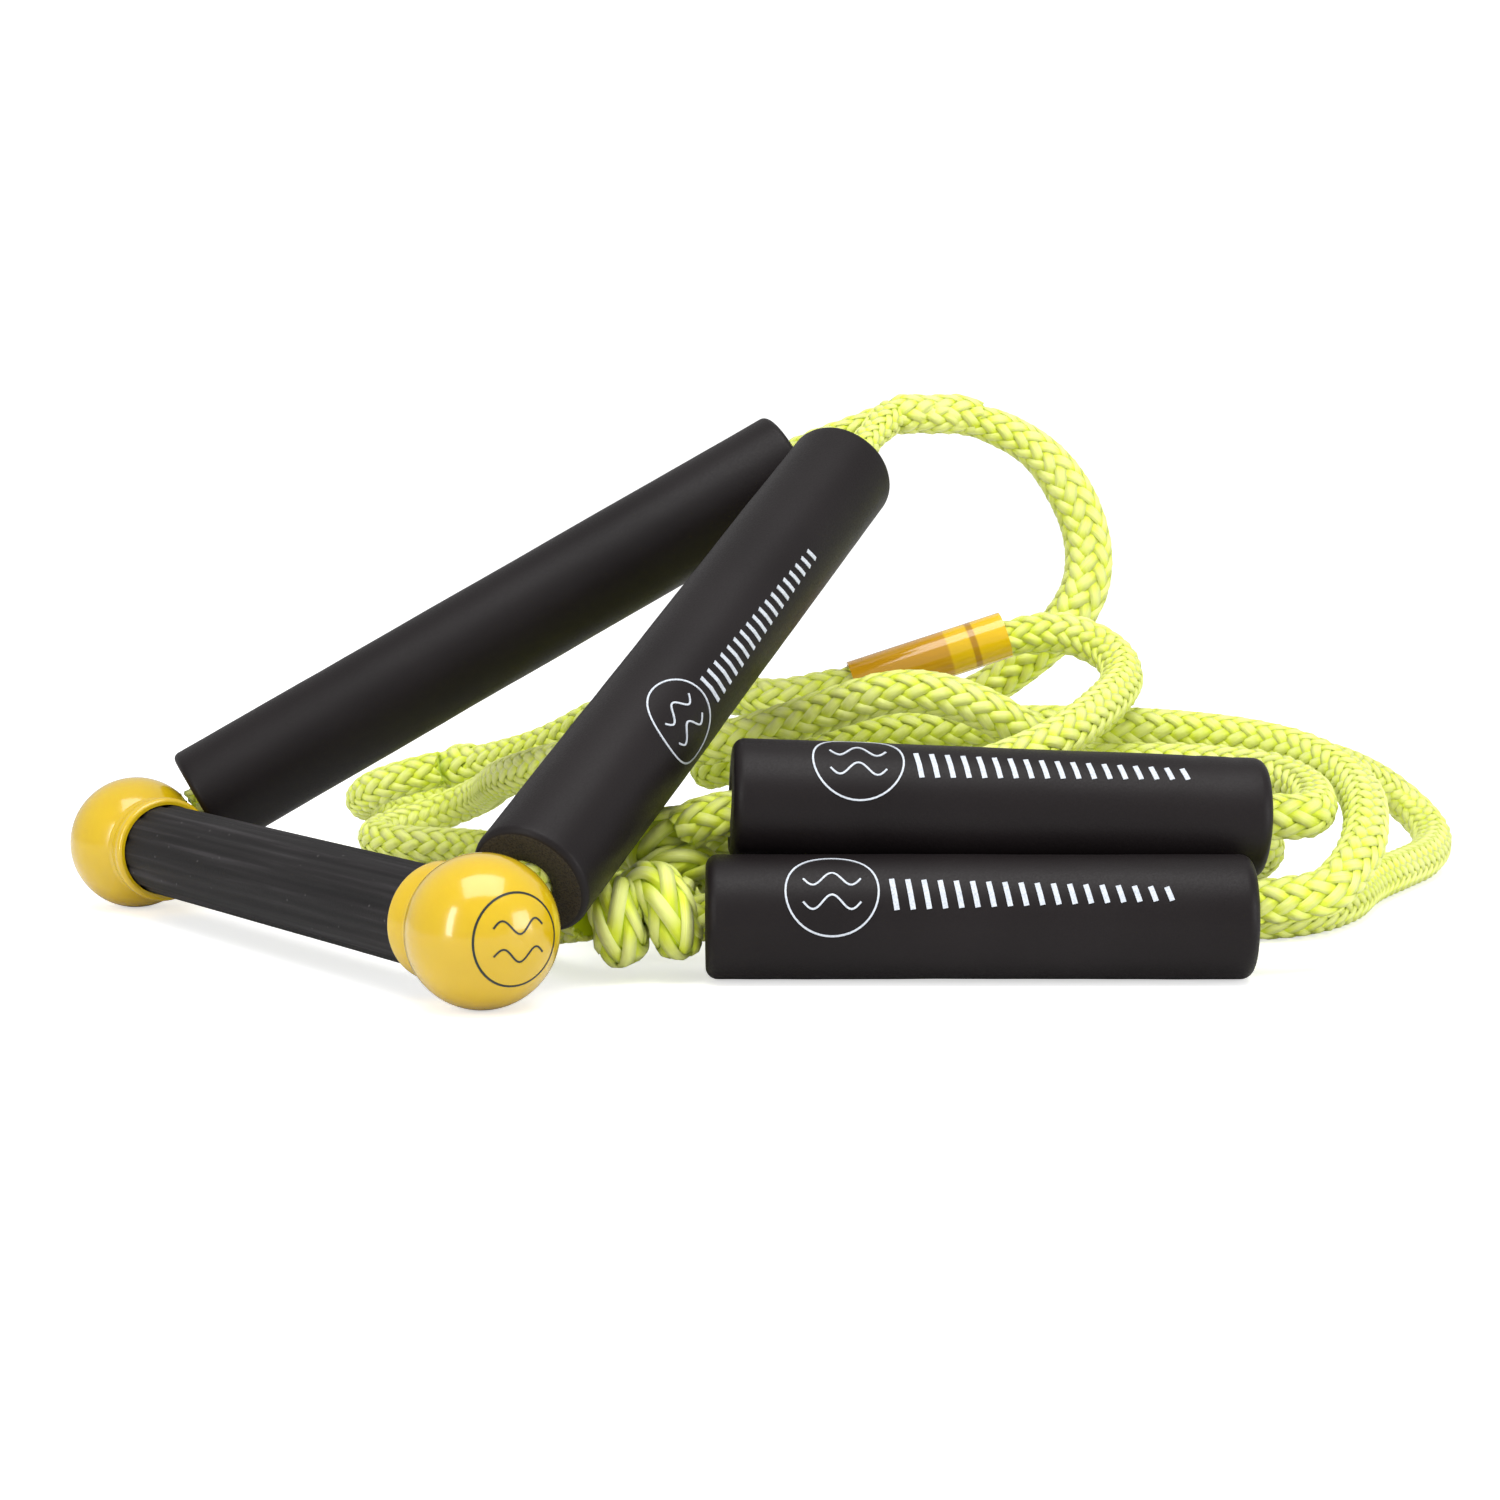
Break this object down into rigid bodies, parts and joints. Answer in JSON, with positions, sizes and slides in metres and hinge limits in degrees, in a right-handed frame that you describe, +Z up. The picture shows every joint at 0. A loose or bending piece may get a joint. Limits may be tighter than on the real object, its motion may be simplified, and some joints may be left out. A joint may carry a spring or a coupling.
{
  "type": "tow rope handle",
  "caption": "Short bar handle with ball end caps on a rope bridle with foam floats, and a thick braided tow line heaped beside it, with line floats, knots, a clear sleeve and an end eye.",
  "frame": {"origin": "On the surface it stands on, under the middle of the box round the bar and its bridle, without the tow line and what is on it.", "axes": "+Y runs along the bar, from its near end cap to its far one. +X runs from the bar towards the point where the bridle's legs meet. +Z is up."},
  "size_m": [0.5219, 0.5291, 0.199],
  "materials": {
    "bar_aluminium": "satin",
    "grip_rubber": "matte, finely grooved",
    "yellow_plastic": "glossy",
    "rope_braid": "hollow braid with a satin sheen",
    "float_foam": "satin closed-cell foam",
    "amber_plastic": "clear, glossy"
  },
  "bodies": {
    "rope": {"bridle_leg_near": "rope_braid", "bridle_leg_far": "rope_braid", "bridle_splice": "rope_braid", "knot_lower": "rope_braid", "knot_upper": "rope_braid", "take_off_sleeve": "amber_plastic", "eye_splice": "rope_braid", "rope_arch": "rope_braid", "rope_right_bend": "rope_braid", "rope_in_lower_float": "rope_braid", "rope_left_bight": "rope_braid", "rope_front_pass": "rope_braid", "rope_back_pass": "rope_braid", "rope_in_upper_float": "rope_braid", "rope_upper_bend": "rope_braid", "rope_outer_loop": "rope_braid", "rope_hidden_turn": "rope_braid", "rope_sleeve_loop": "rope_braid", "rope_in_sleeve": "rope_braid", "rope_tail": "rope_braid", "tow_eye": "rope_braid"},
    "bar": {"bar_tube": "bar_aluminium", "grip": "grip_rubber", "cap_near": "yellow_plastic", "cap_far": "yellow_plastic", "rope_in_bar": "rope_braid"},
    "float_near": {"bridle_float_near": "float_foam"},
    "float_far": {"bridle_float_far": "float_foam"},
    "float_lower": {"line_float_lower": "float_foam"},
    "float_upper": {"line_float_upper": "float_foam"}
  },
  "joints": [
    {"name": "bar_roll", "type": "hinge", "parent": "rope", "child": "bar", "pos_m": [-0.148, 0, 0.0245], "axis": [0, 1, 0], "range_deg": [-20, 20]},
    {"name": "float_near_spin", "type": "hinge", "parent": "rope", "child": "float_near", "pos_m": [-0.1243, -0.1168, 0.0365], "axis": [0.777, 0.4091, 0.4785], "continuous": true},
    {"name": "float_far_spin", "type": "hinge", "parent": "rope", "child": "float_far", "pos_m": [-0.1241, 0.1233, 0.0383], "axis": [0.8069, -0.3359, 0.4859], "continuous": true},
    {"name": "float_lower_spin", "type": "hinge", "parent": "rope", "child": "float_lower", "pos_m": [0.098, -0.236, 0.0205], "axis": [0.8157, -0.5784, 0], "continuous": true},
    {"name": "float_upper_spin", "type": "hinge", "parent": "rope", "child": "float_upper", "pos_m": [-0.048, -0.107, 0.057], "axis": [0.8429, -0.5364, -0.0429], "continuous": true}
  ]
}
